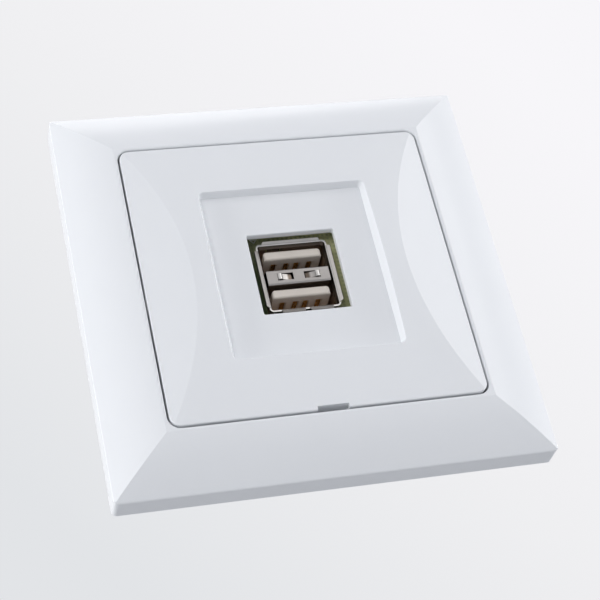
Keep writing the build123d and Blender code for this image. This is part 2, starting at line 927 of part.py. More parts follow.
def divider_tab():
    """Spring tab of the divider's left window, crowned outwards at its root, then sloping in."""
    left = -spring_window_width / 2
    crown_end = left + spring_tab_crown_width
    right = spring_window_width / 2 - spring_tab_short
    crown = (left + spring_tab_crown_width / 2, -spring_tab_crown)
    inner_crown = (crown[0], spring_tab_sheet - spring_tab_crown)
    outline = ThreePointArc((left, 0), crown, (crown_end, 0))
    outline += Polyline(
        (crown_end, 0),
        (right, spring_tab_slope),
        (right, spring_tab_slope + spring_tab_sheet),
        (crown_end, spring_tab_sheet),
    )
    outline += ThreePointArc((crown_end, spring_tab_sheet), inner_crown, (left, spring_tab_sheet))
    outline += Line((left, spring_tab_sheet), (left, 0))
    return ridge(make_face(outline), spring_window_height - 2 * spring_tab_clearance)


def connector_divider():
    """Folded strip between the two ports, with two stamped spring tabs in its face."""
    front = shell_mouth - divider_stand_out
    z = (divider_top + divider_bottom) / 2
    half = shell_width / 2 - shell_sheet - divider_gap
    body = block((-half, half), (front, insulator_front), (divider_bottom, divider_top))
    body = fillet(edges_at_depth(body, front).filter_by(Axis.X), divider_bend_radius)
    body -= block(
        (-half - over, half + over),
        (front + shell_sheet, insulator_front + over),
        (divider_bottom + shell_sheet, divider_top - shell_sheet),
    )
    for low in (divider_bottom, divider_top - shell_sheet):
        body += block(
            about(0, divider_tang_width),
            (insulator_front - part_gap, insulator_front + divider_tang),
            (low, low + shell_sheet),
        )
    left_tab = divider_tab()
    for x, tab in zip(spring_window_places, (left_tab, mirror(left_tab, about=Plane.YZ))):
        body -= Pos(x, front, z) * Box(spring_window_width, over, spring_window_height)
        body += Pos(x, front, z) * tab
    return Pos(connector_x, 0, connector_z) * body


def tongue(top):
    """A port's tongue, with rounded upper corners and tip."""
    body = block(
        about(0, tongue_width), (tongue_tip, insulator_front), (top - tongue_thickness, top)
    )
    upper = body.edges().filter_by(Axis.Y).filter_by_position(Axis.Z, top - tiny, top + tiny)
    body = fillet(upper, tongue_corner_radius)
    return fillet(body.faces().sort_by(Axis.Y)[0].edges(), tongue_tip_radius)


def connector_insulator():
    """Moulded body at the back of the shell with the two tongues."""
    body = rounded(
        shell_width - 2 * shell_sheet - 2 * insulator_clearance,
        shell_height - 2 * shell_sheet - 2 * insulator_clearance,
        insulator_radius,
        insulator_front,
        rear_board_front,
    )
    body += tongue(upper_tongue_top) + tongue(lower_tongue_top)
    for low in (divider_bottom, divider_top - shell_sheet):
        body -= block(
            about(0, divider_tang_width + 2 * part_gap),
            (insulator_front - over, insulator_front + divider_tang + part_gap),
            (low - part_gap, low + shell_sheet + part_gap),
        )
    for top in (upper_tongue_top, lower_tongue_top):
        for offset in contact_offsets:
            body -= block(
                about(offset, contact_width + 2 * contact_channel_gap),
                (contact_front - contact_channel_lead, rear_board_front + over),
                about(contact_line(top), contact_sheet + 2 * part_gap),
            )
    return Pos(connector_x, 0, connector_z) * body


def contacts(top):
    """Four contacts along a tongue's underside, narrowed to solder pins behind."""
    z = about(contact_line(top), contact_sheet)
    shoulder = rear_board_front - 2 * pin_clearance
    strips = []
    for offset in contact_offsets:
        strip = block(about(offset, contact_width), (contact_front, shoulder), z)
        pin = block(
            about(offset, pin_width), (shoulder - part_gap, rear_board_back + pin_stub), z
        )
        strips.append(Pos(connector_x, 0, connector_z) * (strip + pin))
    return Compound(strips)


def link_places():
    """Places of the link pins along X."""
    return [connector_x - link_row / 2 + step * link_pitch for step in range(link_count)]


def link_pins():
    """Row of square pins that joins the two boards."""
    depths = (front_board_front - link_stub, rear_board_back + link_stub)
    return Compound(
        [block(about(x, pin_width), depths, about(link_z, pin_width)) for x in link_places()]
    )


def link_spacer():
    """Moulded spacer on the link pins, between the boards."""
    body = rounded(
        link_row + pin_width + 2 * link_spacer_margin,
        pin_width + 2 * link_spacer_wall,
        link_spacer_radius,
        front_board_back,
        rear_board_front,
        connector_x,
        link_z,
    )
    hole = pin_width + 2 * part_gap
    for x in link_places():
        body -= block(about(x, hole), (-through, through), about(link_z, hole))
    return body


def terminal_block():
    """Moulded body of the two mains terminals, its foot set in the rear shell's lower wall."""
    body = block(about(0, block_width), (rear_board_back, block_back), (block_bottom, block_top))
    body += block(about(0, block_width), (foot_front, block_back), (foot_bottom, block_bottom))
    head_seat = chamber_back + terminal_shoulder
    for x in pole_offsets:
        body -= block(
            about(x, chamber_width),
            (cage_front - cage_clearance, chamber_back),
            (chamber_bottom, chamber_top),
        )
        body -= block(
            about(x, bar_width + 2 * part_gap),
            (bar_front - part_gap, bar_front + bar_thickness + part_gap),
            (chamber_bottom, bar_leg_z + bar_thickness),
        )
        body -= block(
            about(x, bar_leg_width + 2 * part_gap),
            (rear_board_back - over, bar_front + bar_thickness + part_gap),
            (bar_leg_z - part_gap, block_top + over),
        )
        body -= upright(x, entry_depth, entry_radius, foot_bottom - over, chamber_bottom + part_gap)
        screw_hole = terminal_screw_radius + terminal_screw_room
        body -= rod(x, cage_z, screw_hole, chamber_back - over, head_seat + part_gap)
        body -= rod(x, cage_z, terminal_head_radius + terminal_head_room, head_seat, through)
    return body


def terminal_bar(x):
    """Contact bar that the wire is clamped against, with a leg to the rear board."""
    bar = block(
        about(x, bar_width),
        (bar_front, bar_front + bar_thickness),
        (chamber_bottom + cage_clearance, bar_leg_z + bar_thickness - part_gap),
    )
    leg = block(
        about(x, bar_leg_width),
        (rear_board_back, bar_front + bar_thickness),
        (bar_leg_z, bar_leg_z + bar_thickness - part_gap),
    )
    return bar + leg


def terminal_cage(x):
    """Cage that the screw draws back, closing the wire against the bar."""
    low, high = about(cage_z, cage_height)
    body = block(about(x, cage_width), (cage_front, cage_back), (low, high))
    body -= block(
        about(x, cage_width - 2 * cage_wall),
        (cage_front + cage_wall, cage_back - cage_wall),
        (low - over, high + over),
    )
    hole = terminal_screw_radius + terminal_screw_running
    return body - rod(x, cage_z, hole, cage_back - 2 * cage_wall, cage_back + over)


def terminal_screw(x):
    """Terminal screw, its head behind the block's shoulder."""
    screw = slotted_screw(
        terminal_head_radius,
        terminal_head_height,
        terminal_screw_radius,
        terminal_seat - bar_front - bar_thickness - terminal_tip_gap,
        terminal_slot_depth,
    )
    return Pos(x, terminal_seat, cage_z) * Rot(0, 0, 180) * screw


def transformer_core():
    """Two E cores face to face, as one ferrite frame around the winding."""
    front = rear_board_back + core_stand
    back = front + core_length
    body = block(about(0, core_width), (front, back), about(0, core_height))
    body -= block(
        about(0, core_width - 2 * core_leg),
        (front + core_leg, back - core_leg),
        about(0, core_height + over),
    )
    body += rod(0, 0, core_middle_radius, front + over, back - over)
    return Pos(transformer_x, 0, transformer_z) * body


def transformer_winding():
    """Bobbin with its taped winding, around the core's middle leg."""
    front = rear_board_back + core_stand + core_leg + winding_gap
    back = front + core_length - 2 * core_leg - 2 * winding_gap
    width = core_width - 2 * core_leg - 2 * winding_gap
    body = rounded(width, winding_height, winding_radius, front, back)
    for depth in (front, back - bobbin_flange):
        body += rounded(width, bobbin_height, bobbin_radius, depth, depth + bobbin_flange)
    body -= rod(0, 0, core_middle_radius + winding_gap, -through, through)
    return Pos(transformer_x, 0, transformer_z) * body


def bulk_capacitors():
    """Two electrolytic cans standing on the rear board, each with its crimped groove."""
    back = rear_board_back + bulk_length
    groove = rear_board_back + can_groove_start
    cans = []
    for z in bulk_places:
        can = rod(bulk_x, z, bulk_radius, rear_board_back, back)
        can = fillet(can.faces().sort_by(Axis.Y)[-1].edges(), can_edge_radius)
        ring = rod(bulk_x, z, bulk_radius + over, groove, groove + can_groove_width)
        ring -= rod(bulk_x, z, bulk_radius - can_groove, groove, groove + can_groove_width)
        cans.append(can - ring)
    return Compound(cans)


def output_capacitors():
    """Two cans beside the connector, between the boards."""
    cans = []
    for side in (-1, 1):
        x = connector_x + side * output_can_offset
        can = rod(x, output_can_z, output_can_radius, output_can_front, rear_board_front)
        cans.append(fillet(can.faces().sort_by(Axis.Y)[0].edges(), can_edge_radius))
    return Compound(cans)


def filter_capacitor():
    """Boxed film capacitor above the transformer."""
    back = rear_board_back + filter_length
    return rounded(filter_width, filter_height, filter_radius, rear_board_back, back, 0.0, filter_z)


def safety_capacitor():
    """Disc capacitor on edge, on its dipped stem."""
    middle = rear_board_back + disc_stand + disc_radius
    disc = fillet((Rot(0, 90, 0) * Cylinder(disc_radius, disc_thickness)).edges(), disc_edge_radius)
    stem = block(
        about(0, disc_stem[0]), (rear_board_back - middle, -disc_radius + over), about(0, disc_stem[1])
    )
    return Pos(disc_x, middle, disc_z) * (disc + stem)


def choke():
    """Drum choke, a waisted ferrite reel."""
    back = rear_board_back + choke_length
    waist = (rear_board_back + choke_flange, back - choke_flange)
    body = rod(choke_x, choke_z, choke_radius, rear_board_back, waist[0])
    body += rod(choke_x, choke_z, choke_waist_radius, waist[0] - part_gap, waist[1] + part_gap)
    return body + rod(choke_x, choke_z, choke_radius, waist[1], back)


def fuse_resistor():
    """Fusible resistor standing beside the terminals, on its wire."""
    front = rear_board_back + fuse_stand
    body = rod(fuse_x, fuse_z, fuse_radius, front, front + fuse_length)
    body = fillet(body.edges(), fuse_edge_radius)
    wire_end = front + fuse_length + fuse_stand
    return body + rod(fuse_x, fuse_z, fuse_wire_radius, rear_board_back, wire_end)


def chip(x, z, board, size, leg, leg_rows, leg_pitch):
    """Chip on a board's rear face: its body and a row of legs along each side."""
    width, height, thickness = size
    front = board + chip_lift
    body = rounded(width, height, chip_radius, front, front + thickness, x, z)
    for side in (-1, 1):
        for row in range(leg_rows):
            leg_x = x + side * (width + leg[0]) / 2 - side * chip_radius
            leg_z_place = z + (row - (leg_rows - 1) / 2) * leg_pitch
            body += block(about(leg_x, leg[0]), (board, board + leg[1]), about(leg_z_place, leg[2]))
    return body


def write_parts():
    """Builds every piece and writes it under its name."""
    os.makedirs("parts", exist_ok=True)
    pieces = {
        "outer_frame": outer_frame(),
        "centre_plate": centre_plate(),
        "mounting_ring": mounting_ring(),
        "housing_front": housing_front(),
        "housing_back": housing_back(),
        "housing_screws": housing_screws(),
        "front_board": front_board(),
        "power_board": rear_board(),
        "connector_shell": connector_shell(),
        "connector_divider": connector_divider(),
        "connector_insulator": connector_insulator(),
        "contacts_upper": contacts(upper_tongue_top),
        "contacts_lower": contacts(lower_tongue_top),
        "link_pins": link_pins(),
        "link_spacer": link_spacer(),
        "terminal_block": terminal_block(),
        "transformer_core": transformer_core(),
        "transformer_winding": transformer_winding(),
        "bulk_capacitors": bulk_capacitors(),
        "output_capacitors": output_capacitors(),
        "filter_capacitor": filter_capacitor(),
        "safety_capacitor": safety_capacitor(),
        "choke": choke(),
        "fuse_resistor": fuse_resistor(),
        "bridge_rectifier": chip(
            bridge_x, bridge_z, rear_board_back, bridge_body, bridge_leg, 2, bridge_leg_pitch
        ),
        "optocoupler": chip(opto_x, opto_z, rear_board_back, opto_body, opto_leg, 2, opto_leg_pitch),
        "charge_controller": chip(
            charger_x, charger_z, front_board_back, charger_body, charger_leg, 4, charger_leg_pitch
        ),
    }
    for name, piece in (("claw", claw()), ("claw_pin", claw_pin()), ("claw_screw", claw_screw())):
        pieces[name + "_right"] = piece
        pieces[name + "_left"] = mirror(piece, about=Plane.YZ)
    for name, x in zip(("live", "neutral"), pole_offsets):
        pieces["terminal_bar_" + name] = terminal_bar(x)
        pieces["terminal_cage_" + name] = terminal_cage(x)
        pieces["terminal_screw_" + name] = terminal_screw(x)
    for name, piece in pieces.items():
        export_step(piece, "parts/" + name + ".step")


write_parts()
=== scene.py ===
import math

import bpy
from bpy.props import FloatProperty, FloatVectorProperty, IntProperty, PointerProperty
from bpy.types import Operator, Panel, PropertyGroup
from mathutils import Matrix, Vector


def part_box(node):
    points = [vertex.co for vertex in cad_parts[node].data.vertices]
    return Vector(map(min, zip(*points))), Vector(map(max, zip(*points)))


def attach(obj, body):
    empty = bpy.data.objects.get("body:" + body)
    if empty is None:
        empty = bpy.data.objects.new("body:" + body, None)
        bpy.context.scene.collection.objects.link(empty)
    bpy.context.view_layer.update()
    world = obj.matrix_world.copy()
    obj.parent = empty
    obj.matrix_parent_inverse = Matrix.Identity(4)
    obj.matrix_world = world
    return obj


# The looks of a flush wall socket with two stacked charging ports, around its fixed frame.
# X runs to the right, Y into the wall and Z up, in metres, and the socket faces -Y.
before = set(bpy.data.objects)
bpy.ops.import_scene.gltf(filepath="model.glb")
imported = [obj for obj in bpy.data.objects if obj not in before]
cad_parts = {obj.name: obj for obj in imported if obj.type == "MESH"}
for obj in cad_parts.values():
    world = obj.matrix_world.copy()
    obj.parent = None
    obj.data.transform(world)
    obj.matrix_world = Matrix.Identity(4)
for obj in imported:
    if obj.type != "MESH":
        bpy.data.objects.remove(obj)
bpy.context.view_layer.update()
MM = 0.001
# The width of the camera's film in millimetres, and the nearest that it sees, in metres.
FILM_WIDTH = 36.0
NEAR_LIMIT = 0.01
# The backdrop brightens along this direction, between these shares of it.
BACKDROP_SLOPE = (0.72, -0.42, 0.55)
BACKDROP_ENDS = (-0.09, 0.27)
# A lamp further to the side than this isn't mirrored in gloss.
SIDE_ON = 0.9
# Where the board's mark lies, across and upwards from the middle.
MARK_PLACE = (-6.15 * MM, 10.22 * MM)
# The row of pins between the boards.
PIN_WIDTH = 0.6 * MM
PIN_PITCH = 2.0 * MM
PIN_COUNT = 4
# Tails of one port's contacts, across from the port's middle.
TAIL_OFFSETS = (-3.5 * MM, -1.0 * MM, 1.0 * MM, 3.5 * MM)

bl_info = {
    "name": "USB wall socket looks",
    "version": (1, 0, 0),
    "blender": (4, 5, 0),
    "location": "View3D > Sidebar > Wall Socket",
    "description": "Finishes, detail pieces and a soft studio for a flush wall socket",
    "category": "Object",
}


def display(red, green, blue):
    """A colour given as it shows on a screen, from 0 to 255, as a linear one."""
    shares = (red / 255, green / 255, blue / 255)
    return tuple(s / 12.92 if s <= 0.04045 else ((s + 0.055) / 1.055) ** 2.4 for s in shares)


def colour(name, description, default):
    """A colour that a user can change."""
    return FloatVectorProperty(
        name=name, description=description, default=default, subtype="COLOR", min=0.0, max=1.0
    )


def length(name, description, default):
    """A length that a user can change, in metres."""
    return FloatProperty(
        name=name, description=description, default=default, unit="LENGTH", precision=5
    )


def share(name, description, default):
    """A share between nothing and all."""
    return FloatProperty(
        name=name, description=description, default=default, subtype="FACTOR", min=0.0, max=1.0
    )


def power(name, description, default):
    """A lamp's power that a user can change, in watts."""
    return FloatProperty(name=name, description=description, default=default, unit="POWER")


class CameraSettings(PropertyGroup):
    """Where the camera stands and how it looks at the socket."""

    lens: FloatProperty(name="Lens", description="Focal length", default=104.19, unit="CAMERA")
    azimuth: FloatProperty(
        name="Azimuth",
        description="Turn of the camera about the vertical",
        default=math.radians(-16.474),
        subtype="ANGLE",
    )
    elevation: FloatProperty(
        name="Elevation",
        description="Height of the camera above the horizon of its aim",
        default=math.radians(-29.176),
        subtype="ANGLE",
    )
    roll: FloatProperty(
        name="Roll",
        description="Tilt of the picture",
        default=math.radians(-13.716),
        subtype="ANGLE",
    )
    distance: length("Distance", "From the aim to the camera", 0.3195)
    aim: FloatVectorProperty(
        name="Aim",
        description="Point that the camera looks at",
        default=(-0.001381, -0.009, -0.006631),
        subtype="TRANSLATION",
        unit="LENGTH",
        precision=5,
    )


class StageSettings(PropertyGroup):
    """The floor, the backdrop's colours and the even light from all round."""

    floor_drop: length("Floor drop", "How far below the socket the floor lies", 0.6)
    floor_side: length("Floor side", "Side of the square floor", 6.0)
    floor: colour("Floor", "Colour of the floor", display(236, 237, 239))
    floor_bounce: share("Floor bounce", "Share of its light that the floor gives back", 0.6)
    floor_glow: share("Floor glow", "Light added to the floor where it is seen", 0.12)
    bright: colour("Backdrop, bright", "Backdrop towards the upper right", display(247, 246, 249))
    middle: colour("Backdrop, middle", "Backdrop behind the socket", display(239, 239, 241))
    dim: colour("Backdrop, dim", "Backdrop towards the lower left", display(226, 228, 231))
    around: colour("Light all round", "Colour of the even light", (0.38, 0.391, 0.421))
    fall: share("Fall of the light", "Share that even light loses below and gains above", 0.3)


class LampSettings(PropertyGroup):
    """Large soft lamps round the socket."""

    left_power: power("Left lamp", "Power of the lamp on the left", 4.9)
    right_power: power("Right lamp", "Power of the lamp on the right", 4.7)
    top_power: power("Top lamp", "Power of the lamp above", 0.85)
    near_power: power("Near lamp", "Power of the lamp in front on the right", 1.2)
    fill_power: power("Fill lamp", "Power of the lamp in front on the left", 1.7)
    back_power: power("Back lamp", "Power of the lamp behind", 0.8)
    side: length("Lamp side", "Side of each square lamp", 0.42)
    reach: length("Lamp reach", "From the socket to each lamp", 0.9)


class FinishSettings(PropertyGroup):
    """Colours of the socket's finishes."""

    cover: colour("Cover", "Glossy white of the frame and plate", (0.86, 0.875, 0.895))
    housing: colour("Housing", "Light grey of the insert's shells", display(203, 205, 207))
    terminal: colour("Terminals", "Dark grey of the terminal block", display(118, 121, 126))
    galvanised: colour("Galvanised sheet", "Zinc of the mounting ring", display(196, 199, 203))
    plated: colour("Plated steel", "Zinc plating of claws and screws", display(203, 203, 198))
    tin: colour("Tin plate", "Folded sheet of the connector", display(196, 192, 188))
    # Painted highlight along the bend of the ports' mouth.
    tin_painted_highlight: colour(
        "Tin plate, edges", "Bright cut edges of the connector's shell", display(240, 238, 234)
    )
    # Painted shade inside the ports, a darker warm tone.
    tin_painted_shade: colour("Tin plate, inside", "Dull sheet inside the ports", display(142, 128, 116))
    tongue: colour("Tongues", "Warm white of the ports' tongues", display(229, 220, 209))
    gold: colour("Contacts", "Gold of the contacts", display(222, 180, 110))
    brass: colour("Terminal brass", "Plated brass of the terminals", display(206, 190, 150))
    mask: colour("Board", "Green mask of the boards", display(100, 114, 80))
    # Painted light: the lighter tone that the board's mask takes towards the right and the top.
    painted_lit_mask: colour(
        "Board over copper", "Green mask where copper lies under it", display(250, 250, 196)
    )
    mark: colour("Board mark", "Printed mark on the board", display(246, 248, 240))
    solder: colour("Solder", "Solder round the boards' pins", display(205, 205, 203))
    ferrite: colour("Ferrite", "Cores of the transformer and choke", display(58, 58, 61))
    tape: colour("Tape", "Tape round the winding", display(232, 202, 78))
    sleeve: colour("Sleeve", "Sleeves of the capacitors", display(40, 44, 58))
    box: colour("Film capacitor", "Moulded box", display(226, 190, 66))
    dip: colour("Disc capacitor", "Dipped resin", display(52, 104, 176))
    lacquer: colour("Resistor", "Lacquer of the fuse resistor", display(150, 170, 152))
    epoxy: colour("Chips", "Black of the chips", display(44, 44, 47))


class DetailSettings(PropertyGroup):
    """Sizes of the detail pieces."""

    claw_thread_pitch: length("Claw thread", "Pitch of the claw screws", 0.6 * MM)
    claw_thread_height: length("Claw thread height", "How far this thread stands out", 0.14 * MM)
    claw_shank: length("Claw shank", "Diameter of the claw screws' shank", 3.5 * MM)
    claw_plain: length("Claw plain end", "Length of the claw screws without thread", 1.2 * MM)
    terminal_thread_pitch: length("Terminal thread", "Pitch of the terminal screws", 0.5 * MM)
    terminal_thread_height: length(
        "Terminal thread height", "How far this thread stands out", 0.05 * MM
    )
    terminal_shank: length("Terminal shank", "Diameter of the terminal screws' shank", 3.0 * MM)
    terminal_head: length("Terminal head", "Height of the terminal screws' head", 1.6 * MM)
    thread_root: length("Thread root", "How deep a thread sits in its shank", 0.06 * MM)
    thread_steps: IntProperty(
        name="Thread steps", description="Points round one turn of a thread", default=24, min=8
    )
    mark_width: length("Mark width", "Width of the board's triangle", 1.63 * MM)
    mark_height: length("Mark height", "Height of the board's triangle", 1.05 * MM)
    mark_line: length("Mark line", "Width of the triangle's line", 0.24 * MM)
    print_height: length("Print height", "Thickness of printed marks", 0.03 * MM)
    solder_radius: length("Solder radius", "Foot of a solder fillet", 0.62 * MM)
    solder_height: length("Solder height", "Height of a solder fillet", 0.42 * MM)


class LooksSettings(PropertyGroup):
    """All settings of the socket's looks."""

    camera: PointerProperty(type=CameraSettings)
    stage: PointerProperty(type=StageSettings)
    lamps: PointerProperty(type=LampSettings)
    finish: PointerProperty(type=FinishSettings)
    detail: PointerProperty(type=DetailSettings)


def settings():
    """The settings kept with the scene."""
    return bpy.context.scene.socket_looks


def shader_of(name):
    """A new material with its node tree and its main shader."""
    material = bpy.data.materials.new(name)
    material.use_nodes = True
    tree = material.node_tree
    return material, tree, tree.nodes["Principled BSDF"]


def place(tree, size, stretch=(1.0, 1.0, 1.0)):
    """Object coordinates, in patterns of a given size."""
    coordinates = tree.nodes.new("ShaderNodeTexCoord")
    mapping = tree.nodes.new("ShaderNodeMapping")
    mapping.inputs["Scale"].default_value = [s / size for s in stretch]
    tree.links.new(coordinates.outputs["Object"], mapping.inputs["Vector"])
    return mapping.outputs["Vector"]


def noise(tree, size, detail=2.0, stretch=(1.0, 1.0, 1.0)):
    """Cloudy pattern, from 0 to 1."""
    texture = tree.nodes.new("ShaderNodeTexNoise")
    texture.inputs["Scale"].default_value = 1.0
    texture.inputs["Detail"].default_value = detail
    tree.links.new(place(tree, size, stretch), texture.inputs["Vector"])
    return texture.outputs["Fac"]


def cells(tree, size):
    """Pattern of flat cells, each with its own value from 0 to 1."""
    texture = tree.nodes.new("ShaderNodeTexVoronoi")
    texture.inputs["Scale"].default_value = 1.0
    tree.links.new(place(tree, size), texture.inputs["Vector"])
    split = tree.nodes.new("ShaderNodeSeparateColor")
    tree.links.new(texture.outputs["Color"], split.inputs["Color"])
    return split.outputs["Red"]


def spread(tree, value, low, high, first, last):
    """A value between two limits, mapped to a new range."""
    node = tree.nodes.new("ShaderNodeMapRange")
    node.inputs["From Min"].default_value = low
    node.inputs["From Max"].default_value = high
    node.inputs["To Min"].default_value = first
    node.inputs["To Max"].default_value = last
    tree.links.new(value, node.inputs["Value"])
    return node.outputs["Result"]


def blend_colours(tree, amount, first, last):
    """Two colours mixed by an amount. Each colour is a triple or a socket."""
    node = tree.nodes.new("ShaderNodeMix")
    node.data_type = "RGBA"
    tree.links.new(amount, node.inputs["Factor"])
    for name, value in (("A", first), ("B", last)):
        socket = next(s for s in node.inputs if s.name == name and s.type == "RGBA")
        if isinstance(value, bpy.types.NodeSocket):
            tree.links.new(value, socket)
        else:
            socket.default_value = (*value, 1.0)
    return next(s for s in node.outputs if s.type == "RGBA")


def along(tree, axis, low, high):
    """How far a point lies between two places along an axis, from 0 to 1."""
    split = tree.nodes.new("ShaderNodeSeparateXYZ")
    coordinates = tree.nodes.new("ShaderNodeTexCoord")
    tree.links.new(coordinates.outputs["Object"], split.inputs[0])
    return spread(tree, split.outputs[axis], low, high, 0.0, 1.0)


def ramp(tree, value, stops):
    """Colours at places from 0 to 1."""
    node = tree.nodes.new("ShaderNodeValToRGB")
    band = node.color_ramp
    while len(band.elements) < len(stops):
        band.elements.new(0.5)
    for element, (at, tone) in zip(band.elements, stops):
        element.position = at
        element.color = (*tone, 1.0)
    tree.links.new(value, node.inputs["Fac"])
    return node.outputs["Color"]


def times(tree, first, second):
    """Two colours multiplied."""
    node = tree.nodes.new("ShaderNodeMix")
    node.data_type = "RGBA"
    node.blend_type = "MULTIPLY"
    node.inputs["Factor"].default_value = 1.0
    sockets = [socket for socket in node.inputs if socket.type == "RGBA"]
    tree.links.new(first, sockets[0])
    tree.links.new(second, sockets[1])
    return next(socket for socket in node.outputs if socket.type == "RGBA")


def shaded(tone, factor):
    """A colour made darker or lighter by a factor."""
    return tuple(min(1.0, c * factor) for c in tone)


def bump(tree, shader, height, distance):
    """Relief of a given height in metres on a shader, on top of what it has."""
    node = tree.nodes.new("ShaderNodeBump")
    node.inputs["Strength"].default_value = 1.0
    node.inputs["Distance"].default_value = distance
    tree.links.new(height, node.inputs["Height"])
    for link in list(shader.inputs["Normal"].links):
        tree.links.new(link.from_socket, node.inputs["Normal"])
    tree.links.new(node.outputs["Normal"], shader.inputs["Normal"])


def moulded(name, tone, roughness, grain, relief, ripple=0.0):
    """Moulded plastic: faintly clouded, with a fine grain and a broad ripple."""
    material, tree, shader = shader_of(name)
    cloud = noise(tree, 14 * MM, 3.0)
    tones = blend_colours(
        tree, spread(tree, cloud, 0.3, 0.7, 0.0, 1.0), shaded(tone, 0.992), shaded(tone, 1.005)
    )
    tree.links.new(tones, shader.inputs["Base Color"])
    patches = noise(tree, 6 * MM, 4.0)
    spots = spread(tree, patches, 0.3, 0.7, roughness * 0.95, roughness * 1.06)
    tree.links.new(spots, shader.inputs["Roughness"])
    bump(tree, shader, noise(tree, grain, 2.0), relief)
    if ripple:
        bump(tree, shader, noise(tree, 9 * MM, 1.0), ripple)
    return material


def sheet_metal(name, tone, roughness, streak, relief):
    """Plated metal with fine streaks along one direction and cloudy tarnish."""
    material, tree, shader = shader_of(name)
    shader.inputs["Metallic"].default_value = 1.0
    streaks = noise(tree, 0.35 * MM, 5.0, streak)
    clouds = noise(tree, 4 * MM, 4.0)
    tones = blend_colours(
        tree, spread(tree, clouds, 0.3, 0.7, 0.0, 1.0), shaded(tone, 0.88), shaded(tone, 1.04)
    )
    tree.links.new(tones, shader.inputs["Base Color"])
    tree.links.new(
        spread(tree, streaks, 0.25, 0.75, roughness * 0.88, roughness * 1.15),
        shader.inputs["Roughness"],
    )
    bump(tree, shader, streaks, relief)
    return material


def port_sheet(name, finish, stops):
    """Tin plate with painted highlight and painted shade that change from the ports' mouth
    inwards, at depths in millimetres.
    """
    material = sheet_metal(
        name, (1.0, 1.0, 1.0), roughness=0.34, streak=(0.25, 1.0, 1.0), relief=0.0015 * MM
    )
    tree = material.node_tree
    shader = tree.nodes["Principled BSDF"]
    clouds = shader.inputs["Base Color"].links[0].from_socket
    tones = {
        "plain": tuple(finish.tin),
        "painted_highlight": tuple(finish.tin_painted_highlight),
        "inside": tuple(finish.tin_painted_shade),
    }
    first, last = stops[0][0], stops[-1][0]
    placed = [
        ((at - first) / (last - first), shaded(tones[tone], factor)) for at, tone, factor in stops
    ]
    # Painted light by depth: a highlight at the mouth's bend, shade just inside, and the tone
    # lifted again deeper in.
    depth = along(tree, "Y", first * MM, last * MM)
    tree.links.new(times(tree, clouds, ramp(tree, depth, placed)), shader.inputs["Base Color"])
    return material


def galvanised_sheet(name, tone):
    """Zinc with crystals of a few millimetres, each with its own gloss."""
    material, tree, shader = shader_of(name)
    shader.inputs["Metallic"].default_value = 1.0
    crystals = cells(tree, 2.4 * MM)
    tones = blend_colours(tree, crystals, shaded(tone, 0.9), shaded(tone, 1.05))
    tree.links.new(tones, shader.inputs["Base Color"])
    tree.links.new(spread(tree, crystals, 0.0, 1.0, 0.34, 0.48), shader.inputs["Roughness"])
    bump(tree, shader, noise(tree, 0.5 * MM, 3.0), 0.01 * MM)
    return material


def board_mask(name, mask, painted_lit_mask):
    """Solder mask over glass weave, with painted light towards the right and the top and painted
    shade towards the lower left.
    """
    material, tree, shader = shader_of(name)
    # The wave texture repeats every 0.314 of its size, so the weave does every 0.89 mm.
    weave_size = 2.826 * MM
    reach = 11 * MM
    threads = []
    for axis in ("X", "Z"):
        wave = tree.nodes.new("ShaderNodeTexWave")
        wave.bands_direction = axis
        wave.inputs["Scale"].default_value = 1.0
        wave.inputs["Distortion"].default_value = 0.4
        tree.links.new(place(tree, weave_size), wave.inputs["Vector"])
        threads.append(wave.outputs["Fac"])
    both = tree.nodes.new("ShaderNodeMath")
    both.operation = "MULTIPLY"
    tree.links.new(threads[0], both.inputs[0])
    tree.links.new(threads[1], both.inputs[1])
    # Painted light and shade: the mask turns to its lit tone towards the right and the top, and
    # stays dark at the lower left.
    painted_light_slope = tree.nodes.new("ShaderNodeMath")
    painted_light_slope.operation = "ADD"
    upwards = spread(tree, along(tree, "Z", -reach, reach), 0.0, 1.0, -0.38, 0.38)
    tree.links.new(along(tree, "X", -reach, reach), painted_light_slope.inputs[0])
    tree.links.new(upwards, painted_light_slope.inputs[1])
    cover = spread(tree, painted_light_slope.outputs[0], 0.25, 0.95, 0.0, 1.0)
    base = blend_colours(tree, cover, mask, painted_lit_mask)
    woven = spread(tree, both.outputs[0], 0.0, 1.0, 0.0, 0.3)
    tones = blend_colours(tree, woven, base, shaded(mask, 1.3))
    tree.links.new(tones, shader.inputs["Base Color"])
    shader.inputs["Roughness"].default_value = 0.3
    bump(tree, shader, both.outputs[0], 0.012 * MM)
    return material


def seen_rays(tree):
    """One for rays from the camera and for those that gloss and glass send on, else nothing."""
    rays = tree.nodes.new("ShaderNodeLightPath")
    seen = rays.outputs["Is Camera Ray"]
    for name in ("Is Glossy Ray", "Is Transmission Ray"):
        both = tree.nodes.new("ShaderNodeMath")
        both.operation = "MAXIMUM"
        tree.links.new(seen, both.inputs[0])
        tree.links.new(rays.outputs[name], both.inputs[1])
        seen = both.outputs[0]
    return seen


def wear(node_name, material):
    """A CAD node shown with a material."""
    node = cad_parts[node_name]
    if not node.material_slots:
        node.data.materials.append(material)
    for material_slot in node.material_slots:
        material_slot.material = material


def clear_selection():
    """Nothing selected, in object mode."""
    if bpy.context.object and bpy.context.object.mode != "OBJECT":
        bpy.ops.object.mode_set(mode="OBJECT")
    bpy.ops.object.select_all(action="DESELECT")


def settle(piece, name, material, body):
    """Names a finished piece, applies its place and lets it ride on its body."""
    clear_selection()
    piece.select_set(True)
    bpy.context.view_layer.objects.active = piece
    bpy.ops.object.transform_apply(location=True, rotation=True, scale=True)
    piece.name = name
    piece.data.name = name
    piece.data.materials.clear()
    piece.data.materials.append(material)
    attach(piece, body)


